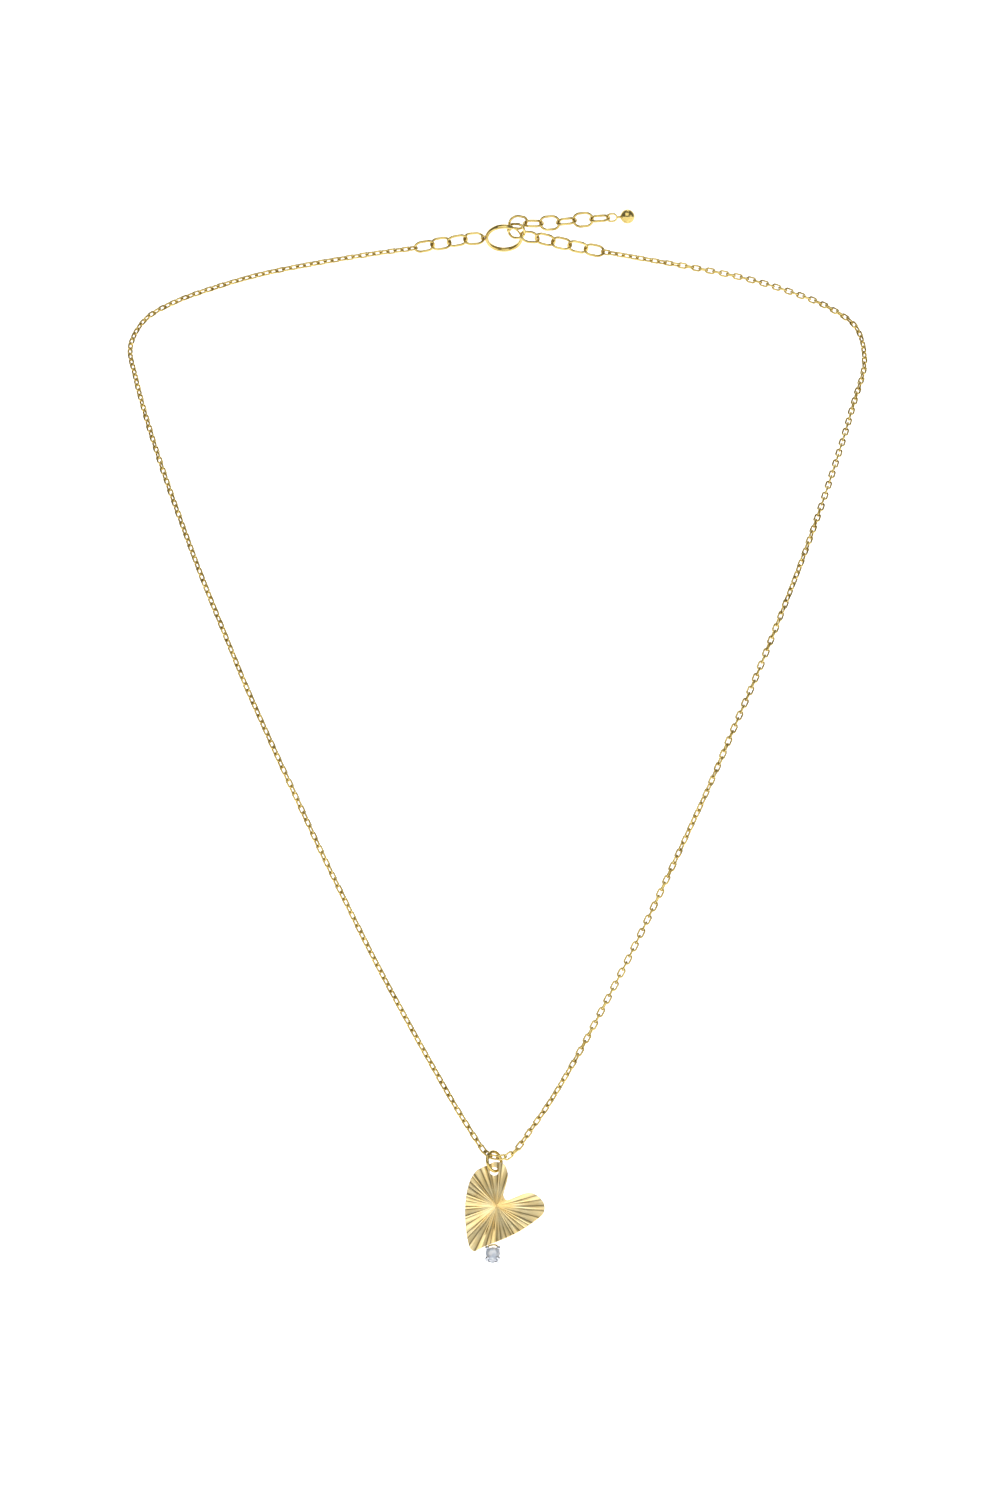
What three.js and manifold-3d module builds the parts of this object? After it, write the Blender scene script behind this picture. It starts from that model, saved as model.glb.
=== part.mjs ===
// A fine cable-chain necklace with a heart pendant, fastened round the wearer's neck.
//
// Millimetres, +Z up. The origin is the middle of the clasp ring on the nape, +X is to the right of
// someone facing the wearer, and -Y is the front. The chain goes from the nape over both shoulders and
// down the chest to the pendant, which leans back on the chest.
import * as THREE from 'three';
import { ParametricGeometry } from 'three/addons/geometries/ParametricGeometry.js';
import { mergeVertices } from 'three/addons/utils/BufferGeometryUtils.js';
import Module from 'manifold-3d';

// Driving dimensions.
const fineLink = { length: 1.57, width: 0.95, wire: 0.25 };
const largeLink = { length: 3.28, width: 2.5, wire: 0.35 };
const contactGap = 0.06;
const clasp = {
  radius: 2.59,
  wall: { radial: 0.275, axial: 0.4 },
  bore: 0.19,
  boltRadius: 0.15,
  gate: [8, 62],
  slotEnd: 124,
  boltSpan: [5, 72],
  guideEnd: 100,
  guideRadius: 0.06,
  springSpan: [75, 170],
  springTurns: 9,
  triggerAngle: 67.5,
  eyelet: { offset: 3.02, diameter: 1.1, wire: 0.26 },
  trigger: { stem: 0.11, head: 0.3, reach: 0.85 },
};
const ball = { radius: 1.1, stem: 0.35, loop: { length: 1.8, width: 1.5, wire: 0.3 } };
const jumpRing = { diameter: 3.2, wire: 0.46, yaw: 45, drop: 0.59 };
const heart = { thickness: 0.4, holeRadius: 0.6, drop: 1.42 };
const stone = { girdle: 1.0, table: 0.56, crown: 0.32, edge: 0.06, pavilion: 0.86 };
const setting = { tilt: 15, place: [-0.2, -11.63, 0.35], prongWire: 0.42, archWire: 0.24 };
const rails = {
  upper: { diameter: 1.82, wire: 0.28, depth: 0.6 },
  lower: { diameter: 1.6, wire: 0.28, depth: 1.35 },
};
const pendantLean = 20;
const napeTilt = 47.5;

// The route of the fine chain, from the last large link to the pendant's neighbouring links.
const leftRoute = [
  [-13.78, -0.82, -1.55], [-20.0, -1.5, -2.4], [-28.5, -2.9, -3.8], [-36.5, -4.8, -5.4], [-43.5, -8.0, -7.4],
  [-49.0, -11.5, -9.4], [-53.2, -14.9, -11.9], [-55.2, -19.0, -15.8], [-54.2, -23.6, -20.3],
  [-52.4, -29.3, -25.8], [-49.9, -35.8, -32.5], [-46.7, -43.0, -40.3], [-43.4, -49.3, -48.1],
  [-40.0, -54.7, -55.7], [-36.6, -59.3, -63.3], [-33.0, -63.4, -70.8], [-29.4, -66.8, -78.2],
  [-25.8, -69.8, -85.6], [-22.0, -72.7, -93.0], [-18.2, -75.7, -100.2], [-14.2, -78.7, -107.3],
  [-10.1, -81.7, -114.3], [-6.2, -84.5, -120.7], [-2.98, -86.65, -125.42],
];
const rightRoute = [
  [15.45, -1.12, -2.15], [21.5, -1.9, -3.2], [29.5, -3.3, -4.6], [37.0, -5.2, -6.2], [43.5, -8.5, -8.2],
  [48.5, -12.1, -10.3], [52.2, -15.6, -13.1], [53.2, -20.4, -18.0], [51.3, -26.6, -23.9],
  [48.9, -33.3, -30.6], [45.8, -40.8, -38.6], [42.6, -47.4, -46.4], [39.3, -53.1, -54.0],
  [35.9, -57.9, -61.7], [32.4, -62.2, -69.2], [29.0, -65.8, -76.7], [25.4, -68.9, -84.1],
  [21.8, -71.9, -91.5], [18.1, -74.8, -98.8], [14.2, -77.8, -106.0], [10.2, -80.8, -113.1],
  [6.5, -83.4, -119.0], [3.3, -85.5, -123.4], [2.2, -86.1, -124.9], [1.35, -86.5, -125.85],
  [0.62, -86.74, -126.3],
];
const lowestLink = [-1.4, -86.8, -126.5];
const hungLinks = { middle: [0, -10], left: [176, 40], right: [0, 10], roll: 150 };

// Where the large links lie: each heading is [azimuth, climb] in degrees.
const leftHeadings = [[184.6, -4], [184.6, -10], [184.6, -9.5], [184.6, -9.5]];
const rightHeadings = [[-3, -14], [-2, -12.5], [-2, -12], [-2, -11]];
const extenderHeadings = [[-9, -1], [-9, 5], [-6, 6], [-5, 5], [-5, 4]];
const hooked = { centre: [1.87, -0.843, 1.074], axis: [0.816, -0.578, 0.004], width: [-0.143, -0.196, 0.97] };
const firstRight = {
  centre: [3.881, -1.33, 0.161],
  axis: [0.886, 0.462, -0.049],
  width: [-0.288, 0.629, 0.722],
};
const firstFree = {
  centre: [2.118, -0.73, 2.355],
  axis: [0.846, 0.518, -0.124],
  width: [0.372, -0.409, 0.833],
};

// The heart's outline, anticlockwise from the lobe that hangs from the ring, about the ring's hole.
const heartOutline = [
  [0.33, 1.36], [-0.47, 1.16], [-1.23, 0.78], [-2.34, 0.23], [-3.25, -0.99], [-3.86, -3.11], [-4.06, -5.23],
  [-3.99, -7.5], [-3.72, -9.6], [-3.34, -10.83], [-2.77, -11.27], [-2.07, -10.93], [-0.98, -10.4],
  [0.86, -9.73], [3.41, -8.51], [5.7, -6.96], [6.85, -5.87], [6.96, -4.67], [6.12, -3.51], [4.87, -2.94],
  [3.48, -3.32], [2.44, -3.89], [1.69, -4.12], [1.3, -3.39], [1.65, -1.91], [1.91, -0.34], [1.4, 0.99],
];

const wasm = await Module();
wasm.setup();

const finish = (color, roughness, metalness) => ({ color, roughness, metalness });
const yellowGold = finish(0xe2b95c, 0.2, 1);
const brightGold = finish(0xf0cf80, 0.3, 1);
const springSteel = finish(0xb4b4b0, 0.35, 1);
const whiteMetal = finish(0xd8dade, 0.15, 1);
const clearStone = finish(0xe8f2ff, 0.05, 0);

const rad = THREE.MathUtils.degToRad;
const vec = (v) => new THREE.Vector3(...v);
const necklace = new THREE.Group();

// The clasp ring's plane: right is +X, up leans forward on the nape, and outward points off the skin.
const right = vec([1, 0, 0]);
const napeUp = vec([0, -Math.sin(rad(napeTilt)), Math.cos(rad(napeTilt))]);
const napeOut = vec([0, Math.cos(rad(napeTilt)), Math.sin(rad(napeTilt))]);

// The pendant's plane: up leans back with the chest, and front faces away from it.
const pendantUp = vec([0, Math.sin(rad(pendantLean)), Math.cos(rad(pendantLean))]);
const pendantFront = vec([0, -Math.cos(rad(pendantLean)), Math.sin(rad(pendantLean))]);

function addMesh(name, geometry, look, matrix = new THREE.Matrix4()) {
  const mesh = new THREE.Mesh(geometry, new THREE.MeshStandardMaterial(look));
  mesh.name = name;
  mesh.applyMatrix4(matrix);
  necklace.add(mesh);
}

// A frame at a point, with its X along axis and its Y as near width as it can be.
function frameAt(point, axis, width) {
  const x = axis.clone().normalize();
  const y = width.clone().addScaledVector(x, -width.dot(x)).normalize();
  const z = x.clone().cross(y);
  return new THREE.Matrix4().makeBasis(x, y, z).setPosition(point);
}

const heading = (azimuth, climb) => vec([
  Math.cos(rad(climb)) * Math.cos(rad(azimuth)),
  Math.cos(rad(climb)) * Math.sin(rad(azimuth)),
  Math.sin(rad(climb)),
]);

// A closed loop of round wire in the XY plane, longer along X: each end is a half circle.
function wireLoop({ length, width, wire }, loopSteps = 20, wireSides = 6) {
  const endRadius = (width - wire) / 2;
  const straight = (length - width) / 2;
  const surface = (across, along, target) => {
    const turn = 2 * Math.PI * along;
    const section = 2 * Math.PI * across;
    const reach = endRadius + (wire / 2) * Math.cos(section);
    const side = Math.abs(Math.cos(turn)) < 1e-9 ? 0 : Math.sign(Math.cos(turn));
    const lengthwise = reach * Math.cos(turn) + side * straight;
    target.set(lengthwise, reach * Math.sin(turn), (wire / 2) * Math.sin(section));
  };
  return weld(new ParametricGeometry(surface, wireSides, loopSteps));
}

// Shares the vertices of a closed surface and turns its faces outwards.
function weld(geometry) {
  const bare = geometry.clone();
  bare.deleteAttribute('normal');
  bare.deleteAttribute('uv');
  const merged = mergeVertices(bare, 1e-5);
  const place = merged.attributes.position;
  const index = merged.index.array;
  const corner = [0, 1, 2].map(() => new THREE.Vector3());
  let volume = 0;
  for (let i = 0; i < index.length; i += 3) {
    corner.forEach((point, k) => point.fromBufferAttribute(place, index[i + k]));
    volume += corner[0].dot(corner[1].cross(corner[2]));
  }
  if (volume < 0) index.reverse();
  merged.computeVertexNormals();
  return merged;
}

function toSolid(geometry) {
  const mesh = weld(geometry);
  return new wasm.Manifold(new wasm.Mesh({
    numProp: 3,
    vertProperties: new Float32Array(mesh.attributes.position.array),
    triVerts: new Uint32Array(mesh.index.array),
  }));
}

function toGeometry(solid) {
  const { vertProperties, triVerts } = solid.getMesh();
  const geometry = new THREE.BufferGeometry();
  geometry.setAttribute('position', new THREE.BufferAttribute(vertProperties, 3));
  geometry.setIndex(new THREE.BufferAttribute(triVerts, 1));
  geometry.computeVertexNormals();
  return geometry;
}

// A round rod along a curve, with flat ends.
function rod(curve, radius, steps, sides) {
  const section = new THREE.Shape();
  for (let k = 0; k < sides; k += 1) {
    const turn = (2 * Math.PI * k) / sides;
    section[k ? 'lineTo' : 'moveTo'](radius * Math.cos(turn), radius * Math.sin(turn));
  }
  return new THREE.ExtrudeGeometry(section, { steps, extrudePath: curve, bevelEnabled: false });
}

// A curve given by a function of its length fraction.
class PathOf extends THREE.Curve {
  constructor(place) {
    super();
    this.place = place;
  }

  getPoint(fraction, target = new THREE.Vector3()) {
    return target.copy(this.place(fraction));
  }
}

const arcOf = (radius, [from, to]) => new PathOf((fraction) => {
  const turn = rad(from + (to - from) * fraction);
  return new THREE.Vector3(radius * Math.cos(turn), radius * Math.sin(turn), 0);
});

// Hangs a row of large links on a point where two wires cross, each turned a quarter from the last.
function hangLinks(names, start, headings, lastWidth) {
  const pitch = largeLink.length - 2 * largeLink.wire - contactGap;
  const contact = start.clone();
  let width = lastWidth;
  names.forEach((name, i) => {
    const axis = heading(...headings[i]);
    width = axis.clone().cross(width).normalize();
    const centre = contact.clone().addScaledVector(axis, pitch / 2);
    addMesh(name, wireLoop(largeLink), yellowGold, frameAt(centre, axis, width));
    contact.addScaledVector(axis, pitch);
  });
  return { contact, width };
}

const numbered = (name, count) => Array.from({ length: count }, (_, i) => `${name}_${i + 1}`);

// Fine chain: each run is the slim round envelope of its links.
function addRun(name, route) {
  const curve = new THREE.CatmullRomCurve3(route.map(vec), false, 'centripetal');
  addMesh(name, rod(curve, fineLink.width / 2, 76, 8), yellowGold);
}

// The three fine links that carry the pendant: one inside the jump ring, and one on each side.
function addHungLinks() {
  const halfPitch = (fineLink.length - 2 * fineLink.wire - contactGap) / 2;
  const centre = vec(lowestLink);
  const axis = heading(...hungLinks.middle);
  const width = pendantFront.clone().applyAxisAngle(axis, rad(hungLinks.roll));
  const addLink = (name, place, along, across) => {
    addMesh(name, wireLoop(fineLink, 16), yellowGold, frameAt(place, along, across));
  };
  addLink('hanging_link', centre, axis, width);
  for (const [side, end] of [['left', -1], ['right', 1]]) {
    const along = heading(...hungLinks[side]);
    const contact = centre.clone().addScaledVector(axis, end * halfPitch);
    contact.addScaledVector(along, halfPitch);
    addLink(`hanging_link_${side}`, contact, along, along.clone().cross(width));
  }
}

// The clasp's own frame: X and Y lie in the ring's plane.
const claspFrame = new THREE.Matrix4().makeBasis(right, napeUp, right.clone().cross(napeUp));

function ringSurface(radial, axial, sides, steps) {
  return new ParametricGeometry((across, along, target) => {
    const turn = 2 * Math.PI * along;
    const section = 2 * Math.PI * across;
    const reach = clasp.radius + radial * Math.cos(section);
    target.set(reach * Math.cos(turn), reach * Math.sin(turn), axial * Math.sin(section));
  }, sides, steps);
}

// A block that covers part of a turn of the ring, between two radii.
function sector([from, to], innerRadius, outerRadius, height) {
  const shape = new THREE.Shape();
  shape.absarc(0, 0, outerRadius, rad(from), rad(to), false);
  shape.absarc(0, 0, innerRadius, rad(to), rad(from), true);
  const block = new THREE.ExtrudeGeometry(shape, { depth: height, bevelEnabled: false, curveSegments: 10 });
  return block.translate(0, 0, -height / 2);
}

// The hollow ring: its bore holds the bolt and the spring, and the gate and the trigger's slot open it.
function claspRing() {
  const { wall, bore, gate, slotEnd, eyelet, trigger } = clasp;
  const loop = wireLoop({ length: eyelet.diameter, width: eyelet.diameter, wire: eyelet.wire }, 16, 8);
  const slotWidth = 2 * trigger.stem + 0.08;
  return toGeometry(toSolid(ringSurface(wall.radial, wall.axial, 10, 44))
    .add(toSolid(loop.translate(-eyelet.offset, 0, 0)))
    .subtract(toSolid(ringSurface(bore, bore, 8, 44)))
    .subtract(toSolid(sector(gate, 1, 4, 2)))
    .subtract(toSolid(sector([gate[1] - 1, slotEnd], 1.5, clasp.radius, slotWidth))));
}

function claspBolt() {
  const { radius, boltRadius, boltSpan, guideRadius, guideEnd } = clasp;
  const guideSpan = [boltSpan[1] - 1, guideEnd];
  return toGeometry(toSolid(rod(arcOf(radius, boltSpan), boltRadius, 14, 8))
    .add(toSolid(rod(arcOf(radius, guideSpan), guideRadius, 8, 6))));
}

// The thumb knob: a thin stem through the slot with a round head inside the ring.
function claspTrigger() {
  const { stem, head, reach } = clasp.trigger;
  const profile = [
    [0, 0], [stem, 0], [stem, 0.2], [head, 0.32], [head, reach - 0.15], [head - 0.12, reach], [0, reach],
  ];
  return new THREE.LatheGeometry(profile.map(([x, y]) => new THREE.Vector2(x, y)), 12);
}

function claspSpring() {
  const { radius, springSpan, springTurns } = clasp;
  const coilRadius = 0.13;
  const coil = new PathOf((fraction) => {
    const turn = rad(springSpan[0] + (springSpan[1] - springSpan[0]) * fraction);
    const twist = 2 * Math.PI * springTurns * fraction;
    const reach = radius + coilRadius * Math.cos(twist);
    return new THREE.Vector3(reach * Math.cos(turn), reach * Math.sin(turn), coilRadius * Math.sin(twist));
  });
  return rod(coil, 0.03, springTurns * 9, 4);
}

function addClasp() {
  const angle = rad(clasp.triggerAngle);
  const root = clasp.radius - clasp.boltRadius - 0.01;
  const inward = vec([-Math.cos(angle), -Math.sin(angle), 0]);
  const foot = inward.clone().multiplyScalar(-root);
  const knobTurn = new THREE.Quaternion().setFromUnitVectors(vec([0, 1, 0]), inward);
  const knob = new THREE.Matrix4().compose(foot, knobTurn, vec([1, 1, 1]));
  addMesh('clasp_ring', claspRing(), yellowGold, claspFrame);
  addMesh('clasp_bolt', claspBolt(), yellowGold, claspFrame);
  addMesh('clasp_trigger', claspTrigger(), yellowGold, claspFrame.clone().multiply(knob));
  addMesh('clasp_spring', claspSpring(), springSteel, claspFrame);
}

// One link of the extender is on the ring; the worn chain and the free end both leave from it.
function addLooseLink(name, { centre, axis, width }) {
  addMesh(name, wireLoop(largeLink), yellowGold, frameAt(vec(centre), vec(axis), vec(width)));
}

const farContact = ({ centre, axis }) => {
  const reach = largeLink.length / 2 - largeLink.wire - contactGap;
  return vec(centre).addScaledVector(vec(axis).normalize(), reach);
};

function addEndBall({ contact, width }) {
  const axis = heading(...extenderHeadings.at(-1));
  const across = axis.clone().cross(width).normalize();
  const nearWire = (ball.loop.wire + contactGap) / 2;
  const toLoop = (ball.loop.length - ball.loop.wire) / 2 - nearWire;
  const loopCentre = contact.clone().addScaledVector(axis, toLoop);
  const ballCentre = loopCentre.clone()
    .addScaledVector(axis, ball.loop.length / 2 + 0.02 + ball.stem + ball.radius);
  addMesh('end_ball_loop', wireLoop(ball.loop, 16), yellowGold, frameAt(loopCentre, axis, across));
  const stemRadius = 0.22;
  const neck = Math.asin(stemRadius / ball.radius);
  const foot = -ball.radius - ball.stem;
  const profile = [new THREE.Vector2(0, foot), new THREE.Vector2(stemRadius, foot)];
  for (let k = 0; k <= 10; k += 1) {
    const turn = -Math.PI / 2 + neck + ((Math.PI - neck) * k) / 10;
    profile.push(new THREE.Vector2(k < 10 ? ball.radius * Math.cos(turn) : 0, ball.radius * Math.sin(turn)));
  }
  const turnUp = new THREE.Quaternion().setFromUnitVectors(vec([0, 1, 0]), axis);
  addMesh('end_ball', new THREE.LatheGeometry(profile, 16), yellowGold,
    new THREE.Matrix4().compose(ballCentre, turnUp, vec([1, 1, 1])));
}

// The jump ring hangs on the lowest link, and the pendant's frame has its origin at the heart's hole.
const ringCentre = vec(lowestLink).addScaledVector(pendantUp, -jumpRing.drop);
const holeCentre = ringCentre.clone().addScaledVector(pendantUp, -heart.drop);
const pendantFrame = new THREE.Matrix4().makeBasis(right, pendantUp, pendantFront).setPosition(holeCentre);

function addJumpRing() {
  const { diameter, wire, yaw } = jumpRing;
  const loop = wireLoop({ length: diameter, width: diameter, wire }, 28, 10);
  const across = right.clone().multiplyScalar(-Math.cos(rad(yaw)));
  across.addScaledVector(pendantFront, Math.sin(rad(yaw)));
  addMesh('pendant_jump_ring', loop, yellowGold, frameAt(ringCentre, across, pendantUp));
}

function heartPlate() {
  const corners = [...heartOutline, heartOutline[0]].map(([x, y]) => new THREE.Vector2(x, y));
  const outline = new THREE.SplineCurve(corners);
  const shape = new THREE.Shape(outline.getPoints(72).slice(0, -1));
  const hole = new THREE.Path();
  hole.absarc(0, 0, heart.holeRadius, 0, 2 * Math.PI, true);
  shape.holes.push(hole);
  const cut = { depth: heart.thickness, bevelEnabled: false, curveSegments: 10 };
  const plate = new THREE.ExtrudeGeometry(shape, cut);
  return plate.translate(0, 0, -heart.thickness / 2);
}

// The stone's own frame: Z points out of its table, and the girdle is at Z = 0.
const stoneFrame = pendantFrame.clone()
  .multiply(new THREE.Matrix4().makeTranslation(...setting.place))
  .multiply(new THREE.Matrix4().makeRotationX(-rad(setting.tilt)));

function roundStone() {
  const { girdle, table, crown, edge, pavilion } = stone;
  const profile = [[0, -pavilion], [girdle, -edge / 2], [girdle, edge / 2], [table, crown], [0, crown]];
  return new THREE.LatheGeometry(profile.map(([x, y]) => new THREE.Vector2(x, y)), 16).rotateX(Math.PI / 2);
}

function prong(angle) {
  const profile = [[1.02, -1.5], [1.12, -0.8], [1.24, 0], [1.2, 0.22], [1.02, 0.33]];
  const points = profile.map(([reach, height]) => vec([reach * Math.cos(angle), reach * Math.sin(angle), height]));
  return rod(new THREE.CatmullRomCurve3(points), setting.prongWire / 2, 8, 8);
}

function addSetting() {
  addMesh('stone', roundStone(), clearStone, stoneFrame);
  for (let k = 0; k < 4; k += 1) {
    addMesh(`setting_prong_${k + 1}`, prong(Math.PI / 4 + (k * Math.PI) / 2), whiteMetal, stoneFrame);
  }
  for (const [name, { diameter, wire, depth }] of Object.entries(rails)) {
    const rail = wireLoop({ length: diameter, width: diameter, wire }, 16, 6).translate(0, 0, -depth);
    addMesh(`setting_${name}_rail`, rail, whiteMetal, stoneFrame);
  }
  const arch = [
    [-0.62, -10.56, 0.08], [-0.5, -10.46, 0], [0.05, -10.31, -0.05], [0.5, -10.38, 0], [0.62, -10.54, 0.08],
  ];
  const path = new THREE.CatmullRomCurve3(arch.map(([x, y, z]) => vec([x + setting.place[0], y, z])));
  addMesh('setting_arch', rod(path, setting.archWire / 2, 12, 8), yellowGold, pendantFrame);
}

addRun('left_chain_run', leftRoute);
addRun('right_chain_run', rightRoute);
addHungLinks();
addClasp();
const eyeletReach = clasp.eyelet.offset + (clasp.eyelet.diameter - clasp.eyelet.wire) / 2;
const eyeletContact = vec([0.16 - eyeletReach, 0, 0]);
hangLinks(numbered('left_end_link', 4), eyeletContact, leftHeadings, right.clone().cross(napeOut));
addLooseLink('hooked_link', hooked);
addLooseLink('right_end_link_1', firstRight);
const rightLinks = numbered('right_end_link', 5).slice(1);
hangLinks(rightLinks, farContact(firstRight), rightHeadings, vec(firstRight.width));
addLooseLink('extender_link_1', firstFree);
const freeLinks = numbered('extender_link', 6).slice(1);
addEndBall(hangLinks(freeLinks, farContact(firstFree), extenderHeadings, vec(firstFree.width)));
addJumpRing();
addMesh('heart_plate', heartPlate(), brightGold, pendantFrame);
addSetting();

export default necklace;
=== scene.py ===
import bmesh
import bpy
import math
import numpy as np
from mathutils import Matrix, Vector


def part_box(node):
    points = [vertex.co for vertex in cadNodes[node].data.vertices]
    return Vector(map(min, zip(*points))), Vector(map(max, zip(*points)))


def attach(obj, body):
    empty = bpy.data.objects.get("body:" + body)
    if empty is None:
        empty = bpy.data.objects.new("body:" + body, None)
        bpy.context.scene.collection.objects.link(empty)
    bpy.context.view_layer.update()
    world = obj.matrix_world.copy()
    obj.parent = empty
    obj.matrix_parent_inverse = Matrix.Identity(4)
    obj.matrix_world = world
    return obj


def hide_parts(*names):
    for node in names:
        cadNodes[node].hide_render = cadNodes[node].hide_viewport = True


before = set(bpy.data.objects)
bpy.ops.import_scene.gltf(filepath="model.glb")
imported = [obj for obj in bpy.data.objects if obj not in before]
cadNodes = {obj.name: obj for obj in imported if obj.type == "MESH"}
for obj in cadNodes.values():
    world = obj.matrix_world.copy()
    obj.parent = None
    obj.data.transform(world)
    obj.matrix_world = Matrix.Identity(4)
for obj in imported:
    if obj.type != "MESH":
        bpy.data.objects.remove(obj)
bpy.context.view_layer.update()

# A worn cable-chain necklace with a heart pendant. Sizes are in millimetres until a mesh is placed.
mm = 0.001
scene = bpy.context.scene

cameraSetup = {"place": (-0.6, -978.0, 8.23), "lookDown": 5.0, "lens": 155.5, "sensorHeight": 36.0}

camera = bpy.data.objects.new("camera", bpy.data.cameras.new("camera"))
camera.data.sensor_fit = "VERTICAL"
camera.data.sensor_height = cameraSetup["sensorHeight"]
camera.data.lens = cameraSetup["lens"]
camera.location = Vector(cameraSetup["place"]) * mm
camera.rotation_euler = (math.radians(90 - cameraSetup["lookDown"]), 0, 0)
scene.collection.objects.link(camera)
scene.camera = camera
print("camera placed")


def addSockets(tree, inputs, outputs):
    for label, kind, value in inputs:
        socket = tree.interface.new_socket(label, in_out="INPUT", socket_type=kind)
        if value is not None:
            socket.default_value = value
    for label, kind in outputs:
        tree.interface.new_socket(label, in_out="OUTPUT", socket_type=kind)


def addNode(tree, kind, values=(), **settings):
    node = tree.nodes.new(kind)
    for name, value in settings.items():
        setattr(node, name, value)
    for socket, value in dict(values).items():
        node.inputs[socket].default_value = value
    return node


def mathNode(tree, operation, a, b=None):
    node = tree.nodes.new("ShaderNodeMath")
    node.operation = operation
    for socket, value in zip(node.inputs, (a, b)):
        if isinstance(value, (int, float)):
            socket.default_value = value
        elif value is not None:
            tree.links.new(value, socket)
    return node.outputs[0]


def mixColours(tree, factor, first, second):
    node = addNode(tree, "ShaderNodeMix", data_type="RGBA")
    for socket, value in ((node.inputs[0], factor), (node.inputs[6], first), (node.inputs[7], second)):
        if isinstance(value, (int, float)):
            socket.default_value = value
        elif isinstance(value, tuple):
            socket.default_value = (*value, 1.0)
        else:
            tree.links.new(value, socket)
    return node.outputs[2]


def makePolishGroup():  # faint scratches, soft waves and a slow change of tone over a polished metal
    tree = bpy.data.node_groups.new("polishMarks", "ShaderNodeTree")
    addSockets(tree, [("Vector", "NodeSocketVector", None), ("Scratch Scale", "NodeSocketFloat", 900.0),
                      ("Tone Scale", "NodeSocketFloat", 260.0), ("Low Roughness", "NodeSocketFloat", 0.12),
                      ("High Roughness", "NodeSocketFloat", 0.3)],
               [("Tone", "NodeSocketFloat"), ("Roughness", "NodeSocketFloat"), ("Height", "NodeSocketFloat")])
    link = tree.links.new
    given = tree.nodes.new("NodeGroupInput")
    out = tree.nodes.new("NodeGroupOutput")
    stretch = addNode(tree, "ShaderNodeMapping", {"Rotation": (0.3, 0.9, 0.5), "Scale": (1.0, 9.0, 1.0)})
    link(given.outputs["Vector"], stretch.inputs["Vector"])
    scratches = addNode(tree, "ShaderNodeTexNoise", {"Detail": 3.0, "Roughness": 0.7})
    link(stretch.outputs[0], scratches.inputs["Vector"])
    link(given.outputs["Scratch Scale"], scratches.inputs["Scale"])
    tone = addNode(tree, "ShaderNodeTexNoise", {"Detail": 2.0, "Roughness": 0.5})
    link(given.outputs["Vector"], tone.inputs["Vector"])
    link(given.outputs["Tone Scale"], tone.inputs["Scale"])
    rough = addNode(tree, "ShaderNodeMapRange", {"From Min": 0.3, "From Max": 0.75})
    link(scratches.outputs[0], rough.inputs["Value"])
    link(given.outputs["Low Roughness"], rough.inputs["To Min"])
    link(given.outputs["High Roughness"], rough.inputs["To Max"])
    spread = addNode(tree, "ShaderNodeMapRange", {"From Min": 0.35, "From Max": 0.65})
    link(tone.outputs[0], spread.inputs["Value"])
    link(spread.outputs[0], out.inputs["Tone"])
    link(rough.outputs[0], out.inputs["Roughness"])
    link(scratches.outputs[0], out.inputs["Height"])
    return tree


polishMarks = makePolishGroup()


def startMaterial(name):
    material = bpy.data.materials.new(name)
    material.use_nodes = True
    tree = material.node_tree
    shader = tree.nodes["Principled BSDF"]
    coords = tree.nodes.new("ShaderNodeTexCoord")
    return material, tree, shader, coords.outputs["Object"]


def addPolish(tree, coords, values, bump):
    marks = addNode(tree, "ShaderNodeGroup", node_tree=polishMarks)
    for label, value in values.items():
        marks.inputs[label].default_value = value
    tree.links.new(coords, marks.inputs["Vector"])
    ripple = addNode(tree, "ShaderNodeBump", {"Strength": bump, "Distance": 0.00001})
    tree.links.new(marks.outputs["Height"], ripple.inputs["Height"])
    return marks, ripple


def polishedMetal(name, light, deep, values, bump=0.12):
    material, tree, shader, coords = startMaterial(name)
    marks, ripple = addPolish(tree, coords, values, bump)
    shader.inputs["Metallic"].default_value = 1.0
    tree.links.new(mixColours(tree, marks.outputs["Tone"], deep, light), shader.inputs["Base Color"])
    tree.links.new(marks.outputs["Roughness"], shader.inputs["Roughness"])
    tree.links.new(ripple.outputs["Normal"], shader.inputs["Normal"])
    return material


goldFinish = {"Scratch Scale": 1400.0, "Tone Scale": 500.0, "Low Roughness": 0.1, "High Roughness": 0.26}
whiteFinish = {"Scratch Scale": 2200.0, "Tone Scale": 900.0, "Low Roughness": 0.06, "High Roughness": 0.16}
steelFinish = {"Scratch Scale": 3000.0, "Tone Scale": 700.0, "Low Roughness": 0.25, "High Roughness": 0.45}
yellowGold = polishedMetal("yellowGold", (0.72, 0.57, 0.21), (0.50, 0.37, 0.11), goldFinish)
whiteMetal = polishedMetal("whiteMetal", (0.66, 0.68, 0.71), (0.48, 0.50, 0.54), whiteFinish)
springSteel = polishedMetal("springSteel", (0.62, 0.62, 0.60), (0.46, 0.46, 0.45), steelFinish)


# The groove floors carry painted shade, darker towards the bottom of each cut, and each facet keeps the fine
# lines of the cutter.
engravedFinishAndShade = {"ridge": (1.0, 0.84, 0.47), "facet": (0.98, 0.74, 0.32), "paintedGrooveShade": (0.10, 0.06, 0.01),
                  "lowRoughness": 0.3, "highRoughness": 0.42, "bump": 0.2}


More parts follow.
